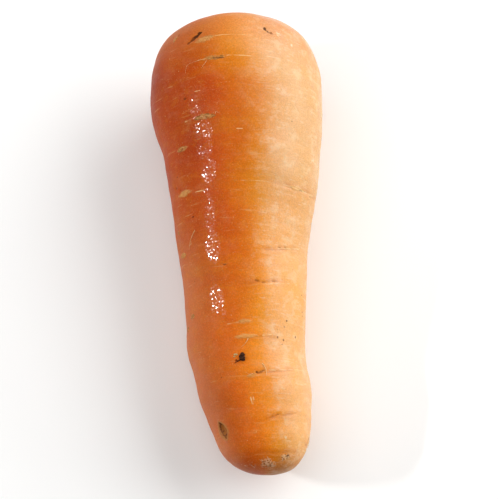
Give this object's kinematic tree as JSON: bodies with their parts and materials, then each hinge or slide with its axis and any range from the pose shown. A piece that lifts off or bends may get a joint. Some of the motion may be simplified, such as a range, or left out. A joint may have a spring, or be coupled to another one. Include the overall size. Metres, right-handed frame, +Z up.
{
  "type": "carrot",
  "caption": "Whole topped carrot root lying on its side: broad rounded shoulder, slight waist, blunt tip bent to one side, creased skin and a shallow crown cup with stalk bases.",
  "frame": {"origin": "middle of the bottom face of the bounding box, on the surface the root lies on", "axes": "+Y along the root towards the crown, the tip at -Y; +X to the right seen from above with the crown away; +Z up"},
  "size_m": [0.0588, 0.1526, 0.0572],
  "materials": {
    "carrot_skin": "smooth washed root skin with a moist waxy sheen, fine pits, pale side-root scars, thin creases and a few dark specks"
  },
  "bodies": {
    "root": {"carrot": "carrot_skin"}
  },
  "joints": []
}
